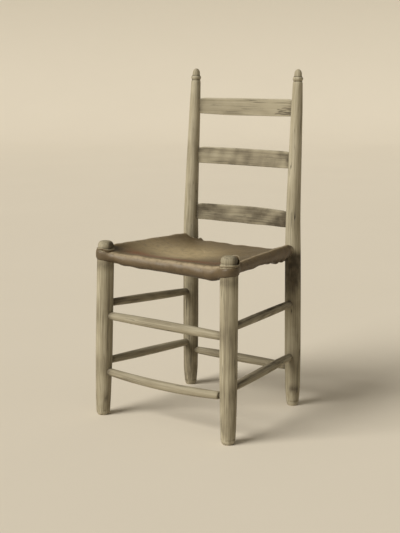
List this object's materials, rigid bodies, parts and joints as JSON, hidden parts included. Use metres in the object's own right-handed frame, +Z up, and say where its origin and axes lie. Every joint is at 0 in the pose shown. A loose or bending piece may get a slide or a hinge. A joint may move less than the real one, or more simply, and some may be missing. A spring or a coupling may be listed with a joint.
{
  "type": "ladderback chair",
  "caption": "Side chair with turned posts, a ladder back of bent slats, round rungs between the legs and a hide seat stretched over round rails.",
  "frame": {"origin": "on the floor under the middle of the chair's outline", "axes": "+Z up, -Y towards the front of the seat, +X towards the right side as seen from the front"},
  "size_m": [0.4451, 0.4238, 0.9149],
  "materials": {
    "post_wood": "bare weathered wood, grey-brown",
    "rung_wood": "bare shaved wood, grey-brown, lighter on the front rungs",
    "rail_wood": "bare shaved wood, hidden by the hide",
    "slat_wood": "bare weathered board with cloudy stains",
    "peg_wood": "bare end grain",
    "seat_leather": "worn brown hide, lighter where sat on",
    "rawhide_lacing": "flat rawhide strips"
  },
  "bodies": {
    "root": {"front_post_left": "post_wood", "rear_post_left": "post_wood", "front_post_right": "post_wood", "rear_post_right": "post_wood", "upper_front_rung": "rung_wood", "lower_front_rung": "rung_wood", "rear_rung": "rung_wood", "left_upper_rung": "rung_wood", "left_lower_rung": "rung_wood", "right_upper_rung": "rung_wood", "right_lower_rung": "rung_wood", "front_seat_rail": "rail_wood", "rear_seat_rail": "rail_wood", "left_seat_rail": "rail_wood", "right_seat_rail": "rail_wood", "top_slat": "slat_wood", "middle_slat": "slat_wood", "lower_slat": "slat_wood", "top_slat_peg_left": "peg_wood", "top_slat_peg_right": "peg_wood", "hide_seat": "seat_leather", "front_to_back_lacing": "rawhide_lacing", "side_to_side_lacing": "rawhide_lacing"}
  },
  "joints": []
}
